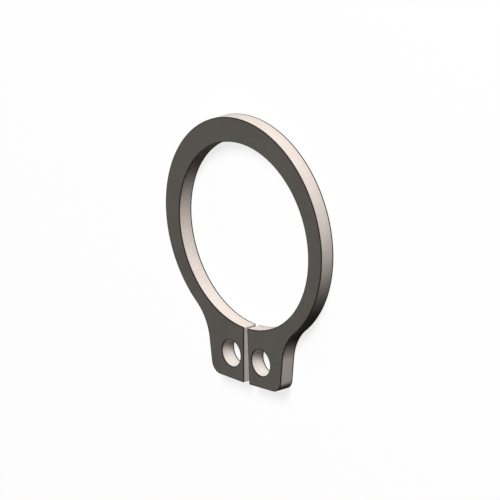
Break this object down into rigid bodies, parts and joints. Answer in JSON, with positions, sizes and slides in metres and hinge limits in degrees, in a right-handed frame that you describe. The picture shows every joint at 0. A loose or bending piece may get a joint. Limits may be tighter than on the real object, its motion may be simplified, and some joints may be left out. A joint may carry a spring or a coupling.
{
  "type": "external retaining clip",
  "caption": "Flat open spring clip with two pierced lugs that snaps into a groove on a shaft and holds a part against end play.",
  "frame": {"origin": "the bore's axis at the lower face, on which the clip lies", "axes": "+Z along the bore's axis, up through the clip; -Y from the axis through the gap between the lugs; +X to the right lug"},
  "size_m": [0.0144, 0.017, 0.001],
  "materials": {
    "spring_steel": "dark oxide film on the strip's faces, bare satin blanked edges"
  },
  "bodies": {
    "root": {"clip": "spring_steel"}
  },
  "joints": []
}
